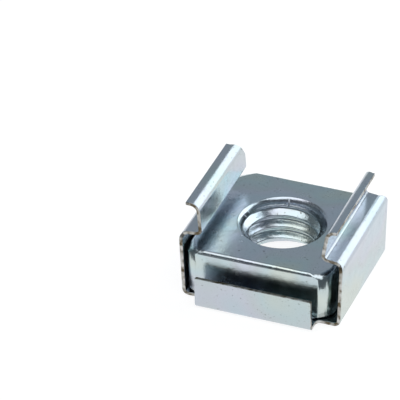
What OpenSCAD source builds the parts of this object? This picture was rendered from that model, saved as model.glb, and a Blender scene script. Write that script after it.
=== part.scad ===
// Rack cage nut: a square nut held loosely in a folded spring-steel cage.
// The two wings snap into a square rack hole, and the end tabs stop the nut from sliding out.
// Z is up, the underside of the cage lies on Z = 0, and the origin is the middle of its base.

/* [Square nut] */
// Width of the nut across its flats, the same both ways
nut_w = 11.05; // [10:0.05:12]
// Thickness of the nut
nut_t = 4; // [3:0.1:5]
// Radius of the nut's four upright corners
nut_corner_r = 0.9; // [0.4:0.1:1.5]
// Radius of the rolled edges round the nut's two faces
nut_edge_r = 0.3; // [0.2:0.05:0.4]
// Distance beyond the flats at which the bevels of the nut's corners start
bevel_start = 1.1; // [0.6:0.1:1.7]
// Slope of the corner bevels, in degrees
bevel_angle = 30; // [15:5:45]
// Minor diameter of the nut's thread (5 mm for M6 x 1)
thread_minor_d = 5; // [4:0.1:5.3]
// Diameter of each countersink at the nut's face
countersink_d = 6.65; // [5.6:0.05:7.5]
// Full angle of each countersink
countersink_angle = 90; // [75:5:120]

/* [Sheet] */
// Thickness of the spring steel that the cage is folded from
sheet = 0.27; // [0.2:0.01:0.4]

/* [Room for the nut] */
// Sideways play of the nut between the walls, at the base
side_play = 0.56; // [0.4:0.02:1]
// Lengthways play of the nut between the end tabs
end_play = 0.86; // [0.5:0.02:1.4]
// Play between the nut's top and the underside of the shoulders
top_play = 0.9; // [0.3:0.05:1.4]
// Gap between the nut and the left wall, where the nut has come to lie
left_gap = 0.05; // [0.02:0.01:0.2]
// Gap between the nut and the rear tab, where the nut has come to lie
rear_gap = 0.03; // [0.01:0.01:0.2]

/* [Walls] */
// Length of the walls, front to back
wall_l = 9.8; // [8.5:0.1:10.8]
// Outward lean of each wall, in degrees
wall_lean = 2.1; // [0:0.1:4]
// Inside radius of the bend at the foot of each wall
wall_bend_r = 0.25; // [0.15:0.05:0.3]
// Inside radius of the shoulder bend at the top of each wall
shoulder_bend_r = 0.45; // [0.2:0.05:0.5]
// Rise of each shoulder towards the middle, in degrees
shoulder_rise = 6; // [0:1:12]
// Radius of the walls' upper corners, where they narrow to the wings
wall_corner_r = 0.7; // [0.3:0.1:1]

/* [Wings] */
// Width over the two uprights at their feet, for a 9.5 mm square hole
upright_span = 9.6; // [9:0.1:10]
// Outward lean of each upright, in degrees
upright_lean = 7; // [0:1:10]
// Room for the rack's panel between the shoulders and the lips
panel_gap = 2.3; // [1.6:0.05:3.5]
// Reach of each lip beyond its upright
lip_reach = 0.68; // [0.58:0.02:1.2]
// Inside radius of the bend at the foot of each upright
foot_bend_r = 0.2; // [0.1:0.05:0.3]
// Inside radius of the bend between upright and lip
lip_bend_r = 0.5; // [0.2:0.05:0.6]
// Distance that the wings' front ends stand back from the walls' front edges
wing_front_inset = 0.2; // [0.05:0.05:1]
// Distance that the uprights' rear ends stand back from the walls' rear edges
wing_rear_inset = 0.55; // [0.1:0.05:1]
// Distance that the lips' rear ends stand back from the walls' rear edges
lip_rear_inset = 1.5; // [1.2:0.1:2]
// Height over which the uprights' rear ends slant to the lips
wing_slant_h = 1.1; // [0.5:0.1:1.5]

/* [End tabs] */
// Width of both end tabs
tab_w = 8.9; // [7.5:0.1:9.6]
// Distance of both tabs from the middle of the base, towards the left
tab_shift = 0.15; // [0:0.05:0.3]
// Height of the front tab above the cage's underside
front_tab_h = 2.6; // [1.5:0.1:4]
// Height of the rear tab above the cage's underside
rear_tab_h = 3.6; // [1.5:0.1:4]
// Inside radius of the bend at the foot of each tab
tab_bend_r = 0.2; // [0.1:0.05:0.25]
// Radius of the tabs' upper corners
tab_corner_r = 0.12; // [0.05:0.01:0.5]
// Radius in the inner corner of each notch beside a tab
notch_r = 0.35; // [0.1:0.05:0.4]

/* [Base] */
// Diameter of the screw's clearance hole in the base
base_hole_d = 8.6; // [7:0.1:9]

/* [Hidden] */
$fn = 96;

// Overlap that makes neighbouring solids one
lap = 0.05;

// The sheet thins by this much on each side of a bend, and the bend reaches this far into the straights
bend_thinning = 0.003;
bend_overlap = 3;

// Where the nut lies: on the base, near the left wall and near the rear tab
nut_x = left_gap - side_play / 2;
nut_y = end_play / 2 - rear_gap;

// Outer faces of the walls at the base, and of the end tabs
base_w = nut_w + side_play + 2 * sheet;
tab_span = nut_w + end_play + 2 * sheet;

// Heights of the shoulders' outer corners and of the lips' undersides
shoulder_h = 2 * sheet + nut_t + top_play;
lip_h = shoulder_h + panel_gap;

// Corners of the section: wall and shoulder, shoulder and upright, upright and lip
wall_top_x = base_w / 2 + shoulder_h * tan(wall_lean);
foot_x = upright_span / 2;
foot_h = shoulder_h + (wall_top_x - foot_x) * tan(shoulder_rise);
lip_x = foot_x + (lip_h - foot_h) * tan(upright_lean);

// Outer side of the right half of the cage's section, from the middle of the base to the lip's edge
half_line = [
    [0, 0],
    [base_w / 2, 0],
    [wall_top_x, shoulder_h],
    [foot_x, foot_h],
    [lip_x, lip_h],
    [lip_x + lip_reach, lip_h],
];
half_radii = [0, wall_bend_r, shoulder_bend_r, foot_bend_r, lip_bend_r, 0];

// Direction of the straight that follows corner i, and the signed turn made at corner i
function heading(line, i) = atan2(line[i + 1][1] - line[i][1], line[i + 1][0] - line[i][0]);
function wrapped(angle) = angle > 180 ? angle - 360 : angle < -180 ? angle + 360 : angle;
function turn(line, i) = wrapped(heading(line, i) - heading(line, i - 1));

// Length that the bend at corner i takes from the straights on both sides of it
function setback(line, radii, i) =
    i == 0 || i == len(line) - 1 ? 0
    : (radii[i] + (turn(line, i) > 0 ? sheet : 0)) * tan(abs(turn(line, i)) / 2);

// Flat sector of a bend: it starts along +X and turns to the left round a point on +Y
module bend_sector(r, angle) {
    far = 2 * (r + sheet);
    intersection() {
        difference() {
            circle(r + sheet - bend_thinning);
            circle(r + bend_thinning);
        }
        polygon([
            [0, 0],
            far * [-sin(bend_overlap), -cos(bend_overlap)],
            far * [sin(angle / 2), -cos(angle / 2)],
            far * [sin(angle + bend_overlap), -cos(angle + bend_overlap)],
        ]);
    }
}

// Section of folded sheet whose right-hand side follows a line, with an inside radius at each corner
module folded_section(line, radii) {
    last = len(line) - 1;
    for (i = [0 : last - 1]) {
        start = setback(line, radii, i);
        end = setback(line, radii, i + 1);
        translate(line[i])
            rotate(heading(line, i))
                translate([start, 0])
                    square([norm(line[i + 1] - line[i]) - start - end, sheet]);
    }
    for (i = [1 : last - 1]) {
        angle = turn(line, i);
        translate(line[i])
            rotate(heading(line, i - 1))
                translate([-setback(line, radii, i), 0])
                    if (angle > 0)
                        translate([0, sheet + radii[i]])
                            bend_sector(radii[i], angle);
                    else
                        translate([0, -radii[i]])
                            mirror([0, 1])
                                bend_sector(radii[i], -angle);
    }
}

// Solid from a section drawn in X and Z, centred on Y = 0
module along_y(length) {
    rotate([90, 0, 0])
        linear_extrude(length, center = true)
            children();
}

// Solid from a section drawn in Y and Z, centred on X = 0
module along_x(length) {
    rotate([90, 0, 90])
        linear_extrude(length, center = true)
            children();
}

// Rectangle centred on X = 0 and standing on Y = 0, with rounded upper corners
module rounded_top(w, h, r) {
    translate([-w / 2, 0])
        square([w, h - r]);
    translate([r - w / 2, 0])
        square([w - 2 * r, h]);
    for (x = [r - w / 2, w / 2 - r])
        translate([x, h - r])
            circle(r);
}

// Outline of the wall and its wing, seen from the side
module side_view() {
    front = wing_front_inset - wall_l / 2;
    rear = wall_l / 2 - wing_rear_inset;
    lip_rear = wall_l / 2 - lip_rear_inset;
    slant_top = lip_h + sheet / 2;
    translate([0, -lap])
        rounded_top(wall_l, shoulder_h + lap, wall_corner_r);
    polygon([
        [front, 0],
        [rear, 0],
        [rear, slant_top - wing_slant_h],
        [lip_rear, slant_top],
        [lip_rear, lip_h + sheet + lap],
        [front, lip_h + sheet + lap],
    ]);
}

// Wall, shoulder, upright and lip of the right side
module side() {
    intersection() {
        along_y(wall_l + 2 * lap)
            folded_section(half_line, half_radii);
        along_x(2 * base_w)
            side_view();
    }
}

// Fillet in the notch at the rear right corner of the base
module notch_fillet() {
    translate([tab_w / 2, wall_l / 2])
        difference() {
            translate([-lap, -lap])
                square(notch_r + lap);
            translate([notch_r, notch_r])
                circle(notch_r);
        }
}

// Flat base with the necks of both end tabs
module base() {
    neck_l = tab_span - 2 * (tab_bend_r + sheet) + 2 * lap;
    linear_extrude(sheet) {
        square([base_w - 2 * (wall_bend_r + sheet), wall_l], center = true);
        translate([-tab_shift, 0]) {
            square([tab_w, neck_l], center = true);
            for (x = [0, 1], y = [0, 1])
                mirror([x, 0])
                    mirror([0, y])
                        notch_fillet();
        }
    }
}

// Tab folded up from the rear end of the base, with rounded upper corners
module end_tab(height) {
    line = [[wall_l / 2 - lap, 0], [tab_span / 2, 0], [tab_span / 2, height + lap]];
    intersection() {
        along_x(2 * tab_w)
            folded_section(line, [0, tab_bend_r, 0]);
        along_y(2 * tab_span)
            translate([-tab_shift, -lap])
                rounded_top(tab_w, height + lap, tab_corner_r);
    }
}

module cage() {
    color([0.80, 0.83, 0.87])
        difference() {
            union() {
                base();
                side();
                mirror([1, 0, 0])
                    side();
                end_tab(rear_tab_h);
                mirror([0, 1, 0])
                    end_tab(front_tab_h);
            }
            translate([0, 0, -lap])
                cylinder(d = base_hole_d, h = sheet + 2 * lap);
        }
}

// Rectangle centred on X = 0 and standing on Y = 0, with rounded corners
module rounded_rectangle(w, h, r) {
    translate([r - w / 2, 0])
        square([w - 2 * r, h]);
    translate([-w / 2, r])
        square([w, h - 2 * r]);
    for (x = [r - w / 2, w / 2 - r], y = [r, h - r])
        translate([x, y])
            circle(r);
}

// Turned disc whose bevelled rims trim the nut's corners
module bevelled_disc() {
    face_r = nut_w / 2 + bevel_start;
    corner_r = nut_w / sqrt(2);
    bevel_h = (corner_r - face_r) * tan(bevel_angle);
    rotate_extrude()
        polygon([
            [0, 0],
            [face_r, 0],
            [corner_r, bevel_h],
            [corner_r, nut_t - bevel_h],
            [face_r, nut_t],
            [0, nut_t],
        ]);
}

// Thread bore with a countersink at each face, along Z from 0 to nut_t
module thread_bore() {
    depth = (countersink_d - thread_minor_d) / 2 / tan(countersink_angle / 2);
    mouth_r = countersink_d / 2 + lap * tan(countersink_angle / 2);
    translate([0, 0, -lap])
        cylinder(d = thread_minor_d, h = nut_t + 2 * lap);
    for (flip = [0, 1])
        translate([0, 0, flip * nut_t])
            mirror([0, 0, flip])
                translate([0, 0, -lap])
                    cylinder(r1 = mouth_r, d2 = thread_minor_d, h = depth + lap);
}

module square_nut() {
    color([0.62, 0.66, 0.70])
        translate([nut_x, nut_y, sheet])
            difference() {
                intersection() {
                    linear_extrude(nut_t)
                        translate([0, -nut_w / 2])
                            rounded_rectangle(nut_w, nut_w, nut_corner_r);
                    along_y(nut_w)
                        rounded_rectangle(nut_w, nut_t, nut_edge_r);
                    along_x(nut_w)
                        rounded_rectangle(nut_w, nut_t, nut_edge_r);
                    bevelled_disc();
                }
                thread_bore();
            }
}

cage();
square_nut();
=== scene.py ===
"""Looks of a rack cage nut: a bright zinc square nut in a folded spring-steel cage, on a white table."""

from math import acos, atan2, cos, pi, radians, sin, sqrt, tan

import bmesh
import bpy
from mathutils import Matrix, Vector


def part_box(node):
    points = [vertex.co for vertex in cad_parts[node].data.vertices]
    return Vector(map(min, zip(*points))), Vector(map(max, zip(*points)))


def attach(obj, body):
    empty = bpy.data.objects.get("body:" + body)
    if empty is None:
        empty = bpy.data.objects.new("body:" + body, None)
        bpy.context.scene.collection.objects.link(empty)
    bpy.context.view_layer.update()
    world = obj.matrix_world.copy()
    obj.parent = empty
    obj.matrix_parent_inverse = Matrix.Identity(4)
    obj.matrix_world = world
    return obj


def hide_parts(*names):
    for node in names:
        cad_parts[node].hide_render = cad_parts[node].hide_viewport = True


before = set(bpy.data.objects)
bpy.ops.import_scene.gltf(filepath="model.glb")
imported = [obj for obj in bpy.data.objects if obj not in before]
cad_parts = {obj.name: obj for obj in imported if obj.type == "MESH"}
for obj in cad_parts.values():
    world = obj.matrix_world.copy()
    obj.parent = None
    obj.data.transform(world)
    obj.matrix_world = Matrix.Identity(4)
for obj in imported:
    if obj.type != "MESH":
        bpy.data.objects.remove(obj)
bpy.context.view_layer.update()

MM = 0.001


# ---------------------------------------------------------------- sizes, in millimetres

CAGE_LOW, CAGE_HIGH = (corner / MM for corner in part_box("cage"))
NUT_LOW, NUT_HIGH = (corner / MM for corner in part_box("square_nut"))

NUT_W = NUT_HIGH.x - NUT_LOW.x
NUT_T = NUT_HIGH.z - NUT_LOW.z
NUT_MIDDLE = (NUT_LOW + NUT_HIGH) / 2

# Sheet and the room that it leaves round the nut
SHEET = NUT_LOW.z
SIDE_PLAY = 0.56
TOP_PLAY = 0.9
BASE_W = NUT_W + SIDE_PLAY + 2 * SHEET
TAB_SPAN = CAGE_HIGH.y - CAGE_LOW.y

# Walls and shoulders
WALL_L = 9.8
WALL_LEAN = radians(2.1)
SHOULDER_H = 2 * SHEET + NUT_T + TOP_PLAY
SHOULDER_RISE = radians(6)
WALL_BEND_R = 0.25
SHOULDER_BEND_R = 0.45
WALL_CORNER_R = 0.7
WALL_CORNER_TOP = 0.05

# Wings
UPRIGHT_SPAN = 9.6
LEFT_LEAN = radians(4)
RIGHT_LEAN = radians(10)
LIP_H = CAGE_HIGH.z - SHEET
LIP_SPAN = 11.5
FOOT_BEND_R = 0.2
LIP_BEND_R = 0.5
WING_FRONT_INSET = 0.2
WING_REAR_INSET = 0.55
LIP_REAR_INSET = 1.5
WING_SLANT_H = 1.1

# End tabs and base
TAB_W = 8.9
TAB_SHIFT = 0.15
FRONT_TAB_H = 2.6
REAR_TAB_H = 3.6
TAB_BEND_R = 0.2
TAB_CORNER_R = 0.12
NOTCH_R = 0.35
BASE_HOLE_D = 8.6

# Rounding of the sheet's sheared edges, on its outer and inner side
EDGE_BREAK = 0.035

# Closest that two points of the sheet's outline come to each other
OUTLINE_GRAIN = 1e-4

# Nut
NUT_CORNER_R = 0.9
NUT_EDGE_R = 0.3
BEVEL_START = 1.1
BEVEL_ANGLE = radians(30)
THREAD_MINOR_R = 2.5
THREAD_MAJOR_R = 3.02
THREAD_PITCH = 1.0
THREAD_ROUNDING = 1.5
COUNTERSINK_R = 6.65 / 2
COUNTERSINK_MOUTH = 0.12
COUNTERSINK_FLOOR_INSET = 0.35
CUTTER_OVER = 0.3
DISC_OVER = 0.01

# Facets
BEND_STEPS = 12
ARC_STEPS = 12
THREAD_STEPS = 96
PROFILE_STEPS = 14


# ---------------------------------------------------------------- folding of the sheet


class Stretch:
    """A straight or a bend of the folded sheet: its outer side starts at a point, under a heading."""

    def __init__(self, start, length, point, heading, turn=0.0, radius=0.0):
        self.start = start
        self.length = length
        self.point = point
        self.heading = heading
        self.turn = turn
        self.radius = radius

    def place(self, along, depth):
        """Point of the folded sheet at a flat distance and at a depth inwards from its outer side."""
        if not self.turn:
            ahead = Vector((cos(self.heading), sin(self.heading)))
            left = Vector((-sin(self.heading), cos(self.heading)))
            return self.point + (along - self.start) * ahead + depth * left
        side = 1 if self.turn > 0 else -1
        outer = self.radius + SHEET if self.turn > 0 else self.radius
        left = Vector((-sin(self.heading), cos(self.heading)))
        centre = self.point + side * outer * left
        heading = self.heading + self.turn * (along - self.start) / self.length
        left = Vector((-sin(heading), cos(heading)))
        return centre - side * (outer - side * depth) * left


def folded_stretches(line, radii):
    """Straights and bends of a sheet: its outer side follows a line, with inside radii at its corners."""
    points = [Vector(point) for point in line]
    headings = [atan2(b.y - a.y, b.x - a.x) for a, b in zip(points, points[1:])]
    turns = [0.0]
    turns += [(b - a + pi) % (2 * pi) - pi for a, b in zip(headings, headings[1:])]
    turns.append(0.0)
    setbacks = [
        (radius + (SHEET if turn > 0 else 0)) * tan(abs(turn) / 2)
        for radius, turn in zip(radii, turns)
    ]
    stretches = []
    flat = 0.0
    for i, heading in enumerate(headings):
        ahead = Vector((cos(heading), sin(heading)))
        length = (points[i + 1] - points[i]).length - setbacks[i] - setbacks[i + 1]
        stretches.append(Stretch(flat, length, points[i] + setbacks[i] * ahead, heading))
        flat += length
        turn = turns[i + 1]
        if turn:
            bend_l = (radii[i + 1] + SHEET / 2) * abs(turn)
            start = points[i + 1] - setbacks[i + 1] * ahead
            stretches.append(Stretch(flat, bend_l, start, heading, turn, radii[i + 1]))
            flat += bend_l
    return stretches


def flat_end(stretches):
    """Flat length of a folded sheet."""
    return stretches[-1].start + stretches[-1].length


def stretch_at(stretches, along):
    """The straight or bend at a flat distance."""
    for stretch in stretches:
        if along <= stretch.start + stretch.length:
            return stretch
    return stretches[-1]


def flat_at_height(stretches, height):
    """Flat distance at which the sheet's outer side first reaches a height."""
    low, high = 0.0, flat_end(stretches)
    for _ in range(40):
        middle = (low + high) / 2
        if stretch_at(stretches, middle).place(middle, 0).y < height:
            low = middle
        else:
            high = middle
    return high


def side_stretches(lean):
    """Section of base, wall, shoulder, leaning upright and lip, from the middle of the base outwards."""
    wall_top_x = BASE_W / 2 + SHOULDER_H * tan(WALL_LEAN)
    foot_x = UPRIGHT_SPAN / 2
    foot_h = SHOULDER_H + (wall_top_x - foot_x) * tan(SHOULDER_RISE)
    lip_x = foot_x + (LIP_H - foot_h) * tan(lean)
    line = [
        (0, 0),
        (BASE_W / 2, 0),
        (wall_top_x, SHOULDER_H),
        (foot_x, foot_h),
        (lip_x, LIP_H),
        (LIP_SPAN / 2, LIP_H),
    ]
    return folded_stretches(line, [0, WALL_BEND_R, SHOULDER_BEND_R, FOOT_BEND_R, LIP_BEND_R, 0])


def tab_stretches(height):
    """Section of the base and an end tab, from the middle of the base outwards."""
    line = [(0, 0), (TAB_SPAN / 2, 0), (TAB_SPAN / 2, height)]
    return folded_stretches(line, [0, TAB_BEND_R, 0])


LEFT_SIDE = side_stretches(LEFT_LEAN)
RIGHT_SIDE = side_stretches(RIGHT_LEAN)
FRONT_TAB = tab_stretches(FRONT_TAB_H)
REAR_TAB = tab_stretches(REAR_TAB_H)


# ---------------------------------------------------------------- helpers for meshes


def finished(bm, name):
    """Smooth-shaded object made from a bmesh in millimetres, with its faces pointing outwards."""
    bmesh.ops.recalc_face_normals(bm, faces=bm.faces)
    if bm.calc_volume(signed=True) < 0:
        bmesh.ops.reverse_faces(bm, faces=bm.faces)
    bmesh.ops.scale(bm, vec=(MM, MM, MM), verts=bm.verts)
    for face in bm.faces:
        face.smooth = True
    mesh = bpy.data.meshes.new(name)
    bm.to_mesh(mesh)
    bm.free()
    piece = bpy.data.objects.new(name, mesh)
    bpy.context.scene.collection.objects.link(piece)
    return piece


def apply_modifiers(piece):
    """Gives a piece the mesh that its modifiers make, and removes them."""
    depsgraph = bpy.context.evaluated_depsgraph_get()
    mesh = bpy.data.meshes.new_from_object(piece.evaluated_get(depsgraph))
    piece.modifiers.clear()
    piece.data = mesh


def cut(piece, tool, operation):
    """Trims a piece by a tool that is then thrown away."""
    modifier = piece.modifiers.new("cut", "BOOLEAN")
    modifier.operation = operation
    modifier.solver = "EXACT"
    modifier.object = tool
    apply_modifiers(piece)
    bpy.data.objects.remove(tool)


def blend_normals(piece):
    """Lets flats keep their own normals, while the rounds between them blend."""
    modifier = piece.modifiers.new("flats first", "WEIGHTED_NORMAL")
    modifier.weight = 50
    apply_modifiers(piece)


def rise(edge):
    """Difference in height between an edge's two ends."""
    return abs(edge.verts[0].co.z - edge.verts[1].co.z)


def square_edges(bm):
    """Edges whose two faces meet at about a right angle."""
    return [
        edge
        for edge in bm.edges
        if edge.is_manifold and radians(80) < edge.calc_face_angle() < radians(100)
    ]


# ---------------------------------------------------------------- cage


def wall_corner(stretches, wall_y, wing_y):
    """Flat points of a wall's rounded upper corner, from the wall's edge to the wing's edge."""
    centre_y = wall_y - WALL_CORNER_R
    centre_h = SHOULDER_H + WALL_CORNER_TOP - WALL_CORNER_R
    end = acos((wing_y - centre_y) / WALL_CORNER_R)
    points = []
    for step in range(ARC_STEPS + 1):
        angle = end * step / ARC_STEPS
        height = centre_h + WALL_CORNER_R * sin(angle)
        points.append((flat_at_height(stretches, height), centre_y + WALL_CORNER_R * cos(angle)))
    return points


def half_outline(stretches, tab_x):
    """Outline of one half of the flat blank as if it were the right one, round the base hole and back."""
    wall_y = WALL_L / 2
    front_wing = wall_y - WING_FRONT_INSET
    rear_wing = wall_y - WING_REAR_INSET
    rear_lip = wall_y - LIP_REAR_INSET
    front_tab_y = flat_end(FRONT_TAB)
    rear_tab_y = flat_end(REAR_TAB)
    slant_foot = flat_at_height(stretches, LIP_H + SHEET / 2 - WING_SLANT_H)
    slant_top = stretches[-1].start
    lip_edge = flat_end(stretches)
    points = [(0, -front_tab_y), (tab_x, -front_tab_y), (tab_x, -wall_y)]
    points += [(x, -y) for x, y in wall_corner(stretches, wall_y, front_wing)]
    points += [(lip_edge, -front_wing), (lip_edge, rear_lip), (slant_top, rear_lip)]
    points += [(slant_foot, rear_wing)]
    points += reversed(wall_corner(stretches, wall_y, rear_wing))
    points += [(tab_x, wall_y), (tab_x, rear_tab_y), (0, rear_tab_y)]
    hole_steps = 4 * ARC_STEPS
    for step in range(hole_steps + 1):
        angle = pi / 2 - pi * step / hole_steps
        points.append((BASE_HOLE_D / 2 * cos(angle), BASE_HOLE_D / 2 * sin(angle)))
    return points


def round_corners(bm, x, ys, radius):
    """Rounds the outline's square corners at one X and several Y."""
    corners = [
        vert
        for vert in bm.verts
        if abs(vert.co.x - x) < OUTLINE_GRAIN
        and min(abs(vert.co.y - y) for y in ys) < OUTLINE_GRAIN
    ]
    bmesh.ops.bevel(
        bm,
        geom=corners,
        offset=radius,
        offset_type="OFFSET",
        segments=ARC_STEPS // 2,
        profile=0.5,
        affect="VERTICES",
        material=-1,
    )


def flat_blank():
    """The cut sheet before it is folded, its underside on Z = 0."""
    bm = bmesh.new()
    for side, stretches in ((1, RIGHT_SIDE), (-1, LEFT_SIDE)):
        tab_x = TAB_W / 2 - side * TAB_SHIFT
        outline = half_outline(stretches, tab_x)
        bm.faces.new([bm.verts.new((side * x, y, 0)) for x, y in outline])
        round_corners(bm, side * tab_x, (-flat_end(FRONT_TAB), flat_end(REAR_TAB)), TAB_CORNER_R)
        round_corners(bm, side * tab_x, (-WALL_L / 2, WALL_L / 2), NOTCH_R)
    bmesh.ops.remove_doubles(bm, verts=bm.verts, dist=1e-5)
    extruded = bmesh.ops.extrude_face_region(bm, geom=bm.faces[:])["geom"]
    upper = [part for part in extruded if isinstance(part, bmesh.types.BMVert)]
    bmesh.ops.translate(bm, vec=(0, 0, SHEET), verts=upper)
    bmesh.ops.recalc_face_normals(bm, faces=bm.faces)
    for face in bm.faces:
        face.material_index = 0 if abs(face.normal.z) > 0.5 else 1
    sharp = square_edges(bm)
    bmesh.ops.bevel(
        bm,
        geom=[edge for edge in sharp if rise(edge) < OUTLINE_GRAIN],
        offset=EDGE_BREAK,
        offset_type="OFFSET",
        segments=2,
        profile=0.5,
        affect="EDGES",
        material=-1,
        clamp_overlap=True,
    )
    return bm


def cut_at_bends(bm, stretches, direction):
    """Cuts the blank across at each facet of its bends."""
    for stretch in stretches:
        if stretch.turn:
            for step in range(BEND_STEPS + 1):
                flat = stretch.start + stretch.length * step / BEND_STEPS
                bmesh.ops.bisect_plane(
                    bm,
                    geom=bm.verts[:] + bm.edges[:] + bm.faces[:],
                    plane_co=flat * direction,
                    plane_no=direction,
                )


def fold(bm):
    """Moves each point of the blank to its place on the folded sheet."""
    for vert in bm.verts:
        x, y, depth = vert.co
        if abs(y) > WALL_L / 2 + NOTCH_R / 2:
            stretches = FRONT_TAB if y < 0 else REAR_TAB
            reach, height = stretch_at(stretches, abs(y)).place(abs(y), depth)
            vert.co = (x, reach if y > 0 else -reach, height)
        else:
            stretches = LEFT_SIDE if x < 0 else RIGHT_SIDE
            reach, height = stretch_at(stretches, abs(x)).place(abs(x), depth)
            vert.co = (reach if x > 0 else -reach, y, height)


def make_cage():
    bm = flat_blank()
    cut_at_bends(bm, LEFT_SIDE, Vector((-1, 0, 0)))
    cut_at_bends(bm, RIGHT_SIDE, Vector((1, 0, 0)))
    cut_at_bends(bm, FRONT_TAB, Vector((0, -1, 0)))
    cut_at_bends(bm, REAR_TAB, Vector((0, 1, 0)))
    fold(bm)
    piece = finished(bm, "folded_cage")
    blend_normals(piece)
    return piece


# ---------------------------------------------------------------- nut


def turned(profile, name):
    """Solid turned round Z from a profile of radii and heights that starts and ends on the axis."""
    bm = bmesh.new()
    verts = [bm.verts.new((radius, 0, height)) for radius, height in profile]
    edges = [bm.edges.new(pair) for pair in zip(verts, verts[1:])]
    bmesh.ops.spin(
        bm,
        geom=verts + edges,
        cent=(0, 0, 0),
        axis=(0, 0, 1),
        angle=2 * pi,
        steps=2 * THREAD_STEPS,
        use_merge=True,
    )
    bmesh.ops.remove_doubles(bm, verts=bm.verts, dist=1e-5)
    return finished(bm, name)


def square_block():
    """Square block with rounded upright corners and rolled edges, standing on Z = 0."""
    bm = bmesh.new()
    bmesh.ops.create_cube(bm, size=1)
    bmesh.ops.scale(bm, vec=(NUT_W, NUT_W, NUT_T), verts=bm.verts)
    bmesh.ops.translate(bm, vec=(0, 0, NUT_T / 2), verts=bm.verts)
    bmesh.ops.bevel(
        bm,
        geom=[edge for edge in bm.edges if rise(edge) > NUT_T / 2],
        offset=NUT_CORNER_R,
        offset_type="OFFSET",
        segments=ARC_STEPS,
        profile=0.5,
        affect="EDGES",
        material=-1,
    )
    bmesh.ops.bevel(
        bm,
        geom=square_edges(bm),
        offset=NUT_EDGE_R,
        offset_type="OFFSET",
        segments=ARC_STEPS // 2,
        profile=0.5,
        affect="EDGES",
        material=-1,
    )
    return finished(bm, "threaded_nut")


def bevelled_disc():
    """Turned disc whose bevelled rims trim the block's corners."""
    face_r = NUT_W / 2 + BEVEL_START
    rim_r = NUT_W / sqrt(2)
    rim_h = (rim_r - face_r) * tan(BEVEL_ANGLE)
    profile = [
        (0, -DISC_OVER),
        (face_r, -DISC_OVER),
        (rim_r, rim_h - DISC_OVER),
        (rim_r, NUT_T - rim_h + DISC_OVER),
        (face_r, NUT_T + DISC_OVER),
        (0, NUT_T + DISC_OVER),
    ]
    return turned(profile, "disc")


def countersink_cutter(flip):
    """Turned cutter of one countersink, with a rolled mouth."""
    floor_r = THREAD_MINOR_R - COUNTERSINK_FLOOR_INSET
    rolled_r = COUNTERSINK_R + COUNTERSINK_MOUTH * 0.9
    profile = [
        (0, floor_r - COUNTERSINK_R),
        (floor_r, floor_r - COUNTERSINK_R),
        (COUNTERSINK_R - COUNTERSINK_MOUTH, -COUNTERSINK_MOUTH),
        (COUNTERSINK_R - COUNTERSINK_MOUTH * 0.4, -COUNTERSINK_MOUTH * 0.35),
        (rolled_r, 0.02),
        (rolled_r, CUTTER_OVER),
        (0, CUTTER_OVER),
    ]
    if flip:
        profile = [(radius, -height) for radius, height in reversed(profile)]
    else:
        profile = [(radius, NUT_T + height) for radius, height in profile]
    return turned(profile, "countersink")


def tap():
    """Screw-shaped cutter: turns of thread with rounded crests and roots, closed at both ends."""
    bm = bmesh.new()
    spare_turns = 3
    turns = round(NUT_T / THREAD_PITCH) + spare_turns
    bottom = -spare_turns / 2 * THREAD_PITCH
    profile = []
    for step in range(turns * PROFILE_STEPS + 1):
        height = step / PROFILE_STEPS
        groove = abs(sin(pi * height)) ** THREAD_ROUNDING
        radius = THREAD_MINOR_R + (THREAD_MAJOR_R - THREAD_MINOR_R) * groove
        profile.append((radius, bottom + height * THREAD_PITCH))
    verts = [bm.verts.new((radius, 0, height)) for radius, height in profile]
    edges = [bm.edges.new(pair) for pair in zip(verts, verts[1:])]
    bmesh.ops.spin(
        bm,
        geom=verts + edges,
        cent=(0, 0, 0),
        axis=(0, 0, 1),
        dvec=(0, 0, THREAD_PITCH / THREAD_STEPS),
        angle=2 * pi,
        steps=THREAD_STEPS,
        use_merge=False,
    )
    bmesh.ops.remove_doubles(bm, verts=bm.verts, dist=1e-4)
    bmesh.ops.holes_fill(bm, edges=[e for e in bm.edges if e.is_boundary], sides=0)
    return finished(bm, "tap")


def make_nut():
    piece = square_block()
    cut(piece, bevelled_disc(), "INTERSECT")
    cut(piece, tap(), "DIFFERENCE")
    cut(piece, countersink_cutter(False), "DIFFERENCE")
    cut(piece, countersink_cutter(True), "DIFFERENCE")
    piece.data.transform(Matrix.Translation(Vector((NUT_MIDDLE.x, NUT_MIDDLE.y, NUT_LOW.z)) * MM))
    blend_normals(piece)
    return piece


# ---------------------------------------------------------------- materials


# Colours of the two platings, and the tints that lie over them
SHEET_COLOUR = (0.50, 0.55, 0.58)
NUT_COLOUR = (0.54, 0.60, 0.64)
BLUE_TINT = (0.97, 1.02, 1.07)
LILAC_TINT = (1.03, 1.00, 1.06)
GREEN_TINT = (0.96, 1.04, 1.02)
YELLOW_TINT = (1.06, 1.06, 0.94)
SPECK_SHADE = (0.40, 0.38, 0.34)
CLEAN_SHADE = (1.0, 1.0, 1.0)

# Colours of the sheared edges
RUST_SHADE = (0.12, 0.095, 0.06)
TORN_SHADE = (0.33, 0.32, 0.29)
BARE_SHADE = (0.56, 0.56, 0.55)

# Sizes of the patterns, in millimetres
SPECK_SIZE = 0.16
SMEAR_SIZE = 0.9
PEEL_SIZE = 0.5
SCRATCH_SIZE = 0.35
RUST_SIZE = 0.45
TEAR_SIZE = 0.12
TEAR_DEPTH = 0.012


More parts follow.
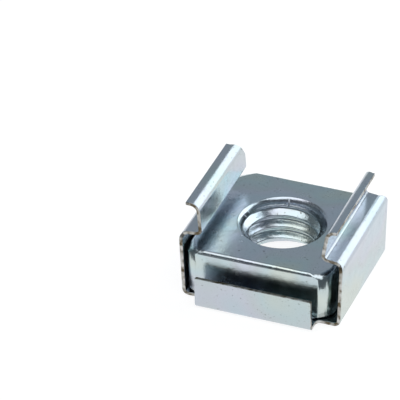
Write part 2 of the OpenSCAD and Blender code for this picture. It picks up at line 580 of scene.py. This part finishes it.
class Nodes:
    """Builds a material's node tree, with its patterns on object coordinates."""

    def __init__(self, name):
        self.material = bpy.data.materials.new(name)
        self.material.use_nodes = True
        self.tree = self.material.node_tree
        self.shader = self.tree.nodes["Principled BSDF"]
        self.coords = self.tree.nodes.new("ShaderNodeTexCoord").outputs["Object"]

    def link(self, source, target):
        self.tree.links.new(source, target)

    def stretched(self, scale):
        """Object coordinates stretched or squeezed along each axis."""
        mapping = self.tree.nodes.new("ShaderNodeMapping")
        mapping.inputs["Scale"].default_value = scale
        self.link(self.coords, mapping.inputs["Vector"])
        return mapping.outputs["Vector"]

    def noise(self, size, detail=2.0, coords=None):
        """Cloudy pattern whose blobs are about one size across, in millimetres."""
        noise = self.tree.nodes.new("ShaderNodeTexNoise")
        noise.inputs["Scale"].default_value = 1 / (size * MM)
        noise.inputs["Detail"].default_value = detail
        self.link(coords or self.coords, noise.inputs["Vector"])
        return noise.outputs["Fac"]

    def ramp(self, value, stops):
        """Colours or greys laid along a value."""
        ramp = self.tree.nodes.new("ShaderNodeValToRGB")
        elements = ramp.color_ramp.elements
        while len(elements) < len(stops):
            elements.new(0.5)
        for element, (position, colour) in zip(elements, stops):
            element.position = position
            element.color = (*colour, 1)
        self.link(value, ramp.inputs["Fac"])
        return ramp.outputs["Color"]

    def levels(self, value, low, high):
        """The middle of a pattern's range spread between two values."""
        levels = self.tree.nodes.new("ShaderNodeMapRange")
        levels.inputs["From Min"].default_value = 0.3
        levels.inputs["From Max"].default_value = 0.7
        levels.inputs["To Min"].default_value = low
        levels.inputs["To Max"].default_value = high
        self.link(value, levels.inputs["Value"])
        return levels.outputs["Result"]

    def multiply(self, first, second):
        """Product of two colours."""
        mix = self.tree.nodes.new("ShaderNodeMix")
        mix.data_type = "RGBA"
        mix.blend_type = "MULTIPLY"
        mix.inputs["Factor"].default_value = 1
        self.link(first, mix.inputs["A"])
        self.link(second, mix.inputs["B"])
        return mix.outputs["Result"]

    def bump(self, height, depth, under=None):
        """Relief of a depth in millimetres, laid over another one."""
        bump = self.tree.nodes.new("ShaderNodeBump")
        bump.inputs["Distance"].default_value = depth * MM
        self.link(height, bump.inputs["Height"])
        if under:
            self.link(under, bump.inputs["Normal"])
        return bump.outputs["Normal"]


def toned(colour, tone):
    """A colour with each of its parts raised or lowered a little."""
    return [part * factor for part, factor in zip(colour, tone)]


def passivated_zinc(name, colour, tint_size, roughness, peel, scratches):
    """Bright zinc plate with the faint tints of its passivation, a fine orange peel and drawn scratches.

    The roughness is given as its lowest and highest value, the peel's depth in millimetres, and the
    scratches by how much their pattern is squeezed along each axis.
    """
    nodes = Nodes(name)
    tints = nodes.ramp(
        nodes.noise(tint_size, 1.0),
        [
            (0.30, toned(colour, BLUE_TINT)),
            (0.42, toned(colour, LILAC_TINT)),
            (0.50, colour),
            (0.58, toned(colour, GREEN_TINT)),
            (0.70, toned(colour, YELLOW_TINT)),
        ],
    )
    specks = nodes.ramp(nodes.noise(SPECK_SIZE, 3.0), [(0.28, SPECK_SHADE), (0.35, CLEAN_SHADE)])
    nodes.link(nodes.multiply(tints, specks), nodes.shader.inputs["Base Color"])
    nodes.shader.inputs["Metallic"].default_value = 1
    low, high = roughness
    smears = nodes.noise(SMEAR_SIZE, 4.0)
    nodes.link(nodes.levels(smears, low, high), nodes.shader.inputs["Roughness"])
    fine = nodes.bump(nodes.noise(PEEL_SIZE, 3.0), peel)
    drawn = nodes.noise(SCRATCH_SIZE, 2.0, nodes.stretched(scratches))
    nodes.link(nodes.bump(drawn, peel / 3, fine), nodes.shader.inputs["Normal"])
    return nodes.material


def sheared_steel(name):
    """Torn grey edge of the punched sheet, with brown spots."""
    nodes = Nodes(name)
    spots = nodes.noise(RUST_SIZE, 4.0)
    colour = nodes.ramp(
        spots,
        [(0.36, RUST_SHADE), (0.47, TORN_SHADE), (0.62, BARE_SHADE)],
    )
    nodes.link(colour, nodes.shader.inputs["Base Color"])
    nodes.shader.inputs["Metallic"].default_value = 1
    nodes.link(nodes.levels(spots, 0.45, 0.28), nodes.shader.inputs["Roughness"])
    torn = nodes.bump(nodes.noise(TEAR_SIZE, 3.0), TEAR_DEPTH)
    nodes.link(torn, nodes.shader.inputs["Normal"])
    return nodes.material


# ---------------------------------------------------------------- stage, lights and camera

CAMERA_AZIMUTH = radians(21.87)
CAMERA_ELEVATION = radians(34.20)
CAMERA_ROLL = radians(-1.09)
CAMERA_DISTANCE = 302.26
CAMERA_LENS = 374.2
SENSOR = 36
AIM_ASIDE = 6.117
AIM_DOWN = 3.317
AIM_HEIGHT = 2.5
CLIP_START = 10
CLIP_END = 10000
SOFTBOX_DISTANCE = 600

# The floor glows a little, as a light table does, which keeps the shadows pale
FLOOR_SIZE = 1500
FLOOR_SINK = 0.01
FLOOR_SHADE = (0.3, 0.3, 0.3, 1)
FLOOR_GLOW = 0.85

# Tent wall in front of the part and behind it
TENT_FRONT = (0.10, 0.11, 0.12, 1)
TENT_BACK = (0.34, 0.385, 0.42, 1)


def make_camera():
    level_right = Vector((cos(CAMERA_AZIMUTH), sin(CAMERA_AZIMUTH), 0))
    back = Vector(
        (
            sin(CAMERA_AZIMUTH) * cos(CAMERA_ELEVATION),
            -cos(CAMERA_AZIMUTH) * cos(CAMERA_ELEVATION),
            sin(CAMERA_ELEVATION),
        )
    )
    level_up = back.cross(level_right)
    right = cos(CAMERA_ROLL) * level_right + sin(CAMERA_ROLL) * level_up
    up = cos(CAMERA_ROLL) * level_up - sin(CAMERA_ROLL) * level_right
    eye = CAMERA_DISTANCE * back - AIM_ASIDE * right + AIM_DOWN * up + Vector((0, 0, AIM_HEIGHT))
    camera = bpy.data.objects.new("camera", bpy.data.cameras.new("camera"))
    camera.data.lens = CAMERA_LENS
    camera.data.sensor_width = SENSOR
    camera.data.clip_start = CLIP_START * MM
    camera.data.clip_end = CLIP_END * MM
    facing = Matrix((right, up, back)).transposed().to_4x4()
    camera.matrix_world = Matrix.Translation(eye * MM) @ facing
    bpy.context.scene.collection.objects.link(camera)
    bpy.context.scene.camera = camera


def make_floor():
    bm = bmesh.new()
    bmesh.ops.create_grid(bm, x_segments=1, y_segments=1, size=FLOOR_SIZE)
    bmesh.ops.translate(bm, vec=(0, 0, -FLOOR_SINK), verts=bm.verts)
    floor = finished(bm, "floor")
    material = bpy.data.materials.new("floor")
    material.use_nodes = True
    shader = material.node_tree.nodes["Principled BSDF"]
    shader.inputs["Base Color"].default_value = FLOOR_SHADE
    shader.inputs["Roughness"].default_value = 0.9
    shader.inputs["Specular IOR Level"].default_value = 0
    shader.inputs["Emission Color"].default_value = (1, 1, 1, 1)
    shader.inputs["Emission Strength"].default_value = FLOOR_GLOW
    floor.data.materials.append(material)


def softbox(name, azimuth, elevation, spread, radiance, colour=(1, 1, 1)):
    """Rectangular light that faces the part, with its place and spread in degrees as seen from there."""
    a, e = radians(azimuth), radians(elevation)
    towards = Vector((sin(a) * cos(e), -cos(a) * cos(e), sin(e)))
    width, height = (2 * SOFTBOX_DISTANCE * MM * tan(radians(angle) / 2) for angle in spread)
    light = bpy.data.lights.new(name, "AREA")
    light.shape = "RECTANGLE"
    light.size, light.size_y = width, height
    light.energy = radiance * pi * width * height
    light.color = colour
    lamp = bpy.data.objects.new(name, light)
    lamp.location = towards * SOFTBOX_DISTANCE * MM
    lamp.rotation_euler = towards.to_track_quat("Z", "Y").to_euler()
    bpy.context.scene.collection.objects.link(lamp)


def make_world():
    """Dim tent wall round the part: grey-blue behind it and darker in front, where the camera stands."""
    world = bpy.data.worlds.new("tent")
    bpy.context.scene.world = world
    world.use_nodes = True
    nodes, links = world.node_tree.nodes, world.node_tree.links
    background = nodes["Background"]
    coords = nodes.new("ShaderNodeTexCoord")
    split = nodes.new("ShaderNodeSeparateXYZ")
    links.new(coords.outputs["Generated"], split.inputs[0])
    ramp = nodes.new("ShaderNodeValToRGB")
    links.new(split.outputs["Y"], ramp.inputs[0])
    ramp.color_ramp.elements[0].position = 0.0
    ramp.color_ramp.elements[0].color = TENT_FRONT
    ramp.color_ramp.elements[1].position = 0.5
    ramp.color_ramp.elements[1].color = TENT_BACK
    links.new(ramp.outputs[0], background.inputs["Color"])


# ---------------------------------------------------------------- the scene

make_camera()
make_floor()
make_world()
softbox("rear_right_box", azimuth=135, elevation=26, spread=(60, 50), radiance=1.5, colour=(0.96, 1.0, 1.0))
softbox("top_box", azimuth=0, elevation=72, spread=(60, 44), radiance=1.5)

cage = make_cage()
nut = make_nut()
zinc_sheet = passivated_zinc(
    "zinc_sheet",
    SHEET_COLOUR,
    tint_size=5.0,
    roughness=(0.16, 0.28),
    peel=0.012,
    scratches=(1.0, 6.0, 1.0),
)
zinc_nut = passivated_zinc(
    "zinc_nut",
    NUT_COLOUR,
    tint_size=4.0,
    roughness=(0.17, 0.28),
    peel=0.016,
    scratches=(5.0, 1.0, 5.0),
)
cage.data.materials.append(zinc_sheet)
cage.data.materials.append(sheared_steel("sheared_edge"))
nut.data.materials.append(zinc_nut)

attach(cage, "root")
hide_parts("cage")
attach(nut, "root")
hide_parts("square_nut")

bpy.context.scene.view_settings.view_transform = "Standard"
